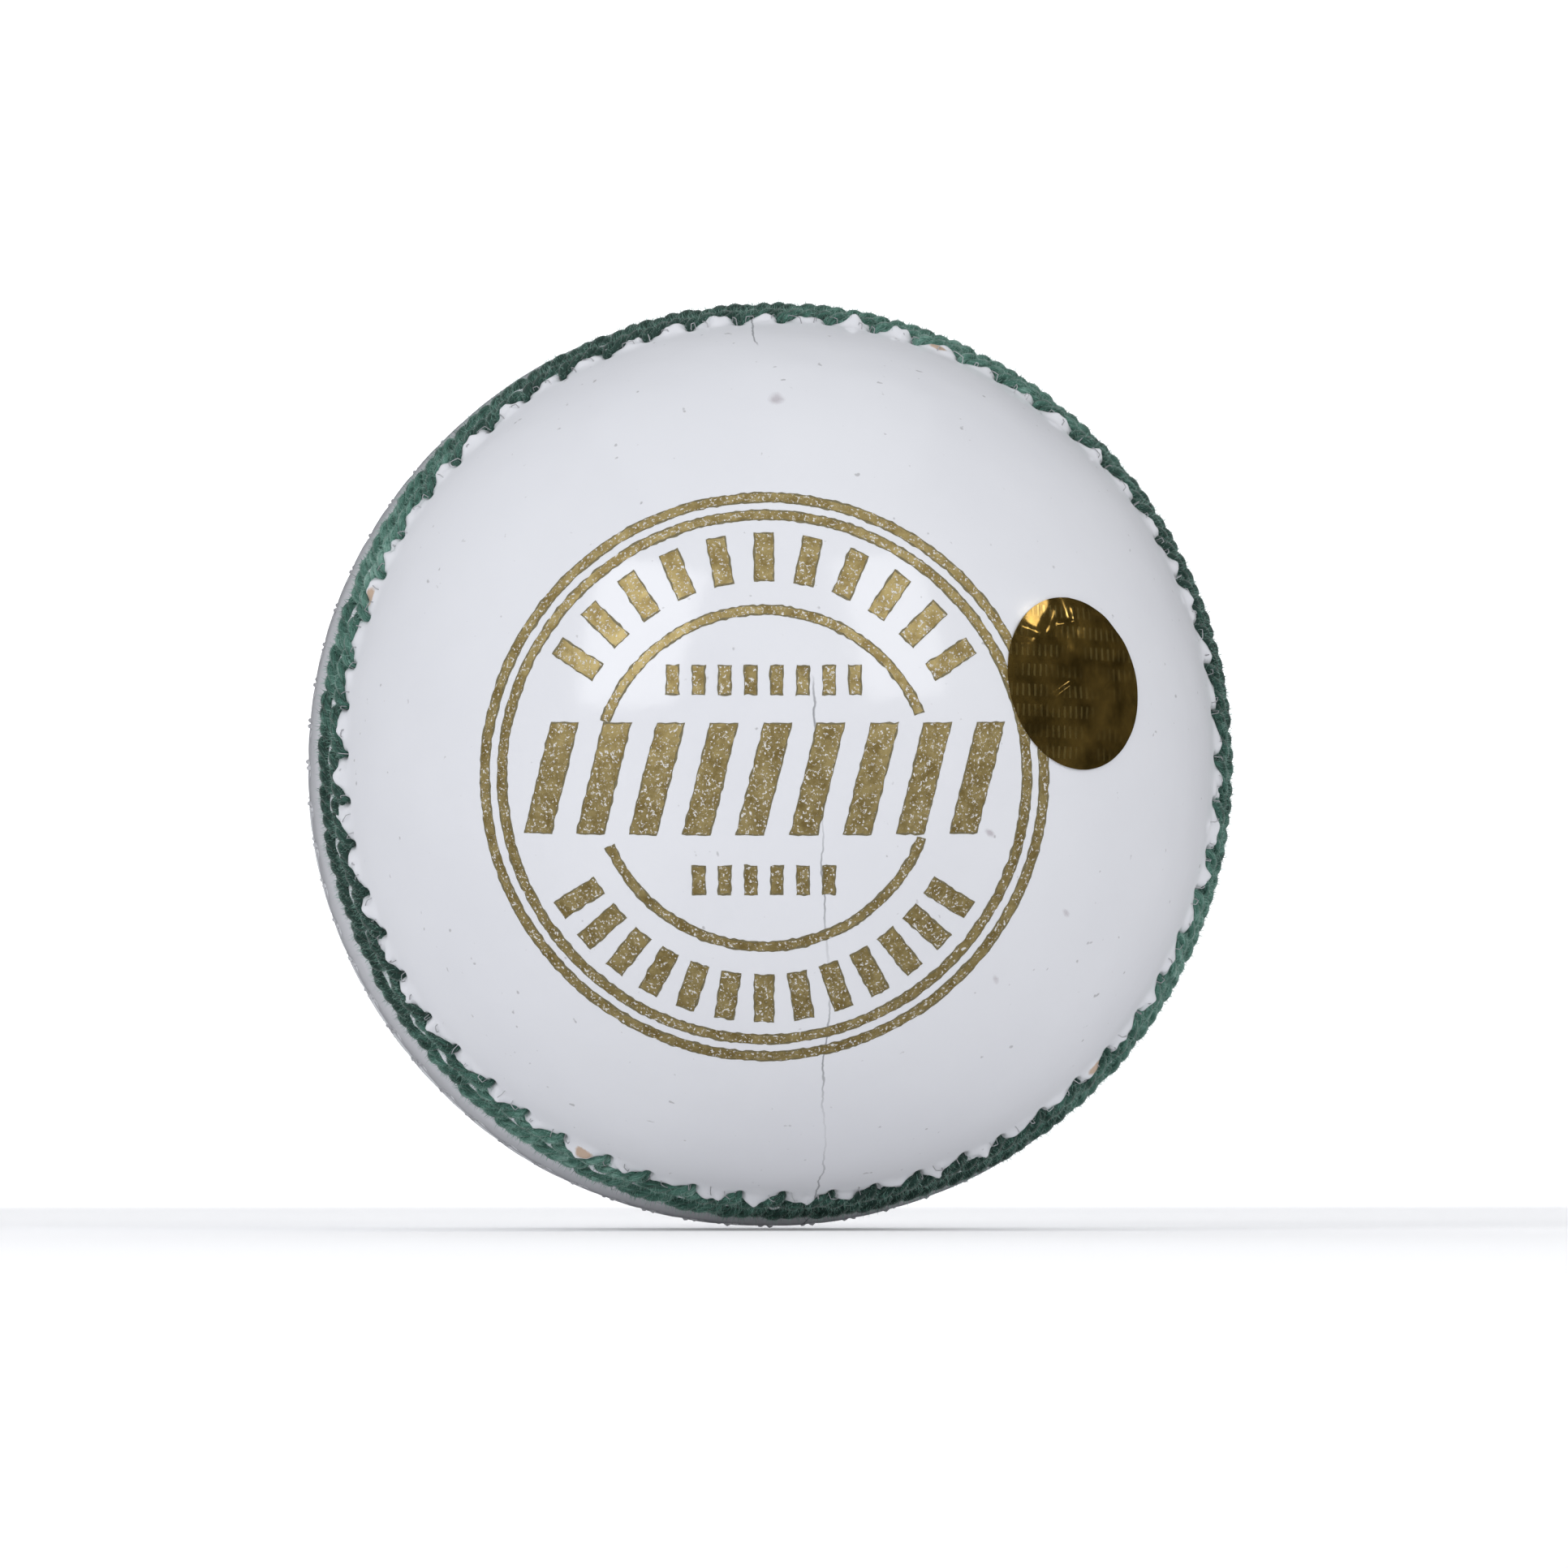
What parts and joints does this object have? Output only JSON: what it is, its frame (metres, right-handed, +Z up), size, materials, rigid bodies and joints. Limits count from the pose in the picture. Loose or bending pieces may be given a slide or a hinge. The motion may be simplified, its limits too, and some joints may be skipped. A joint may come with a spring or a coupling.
{
  "type": "cricket ball",
  "caption": "White hand-sewn leather cricket ball with green stitch rows round the seam, a gold foil stamp of plain rings and bars, and a round foil sticker",
  "frame": {"origin": "centre of the ball", "axes": "+Z up; Y is the axis of the sewn seam, so the seam lies in the XZ plane; the half with the stamp and the sticker faces -Y"},
  "size_m": [0.0724, 0.0718, 0.0724],
  "materials": {
    "white_leather": "white finished leather with a soft gloss and faint handling marks",
    "green_thread": "waxed dark green plied linen thread",
    "white_thread": "white linen thread, coated over with the leather's finish",
    "hidden_thread": "natural linen thread",
    "backing_leather": "undyed thin leather strip",
    "core_composite": "moulded cork and rubber mix",
    "cork": "plain sliced cork",
    "yarn": "tightly wound worsted yarn",
    "gold_foil": "hot-pressed gold foil, worn and speckled",
    "sticker_foil": "mirror-like dark gold foil with creases"
  },
  "bodies": {
    "root": {"stamped_quarter_right": "white_leather", "stamped_quarter_left": "white_leather", "plain_quarter_upper": "white_leather", "plain_quarter_lower": "white_leather", "stamped_outer_row": "green_thread", "stamped_inner_row": "green_thread", "plain_outer_row": "green_thread", "plain_inner_row": "green_thread", "closing_stitches": "white_thread", "stamped_quarter_thread": "hidden_thread", "plain_quarter_thread": "hidden_thread", "stamped_backing": "backing_leather", "plain_backing": "backing_leather", "core": "core_composite", "inner_cork_slices": "cork", "outer_cork_slices": "cork", "inner_yarn": "yarn", "middle_yarn": "yarn", "outer_yarn": "yarn", "stamp_rings": "gold_foil", "stamp_marks": "gold_foil", "sticker": "sticker_foil"}
  },
  "joints": []
}
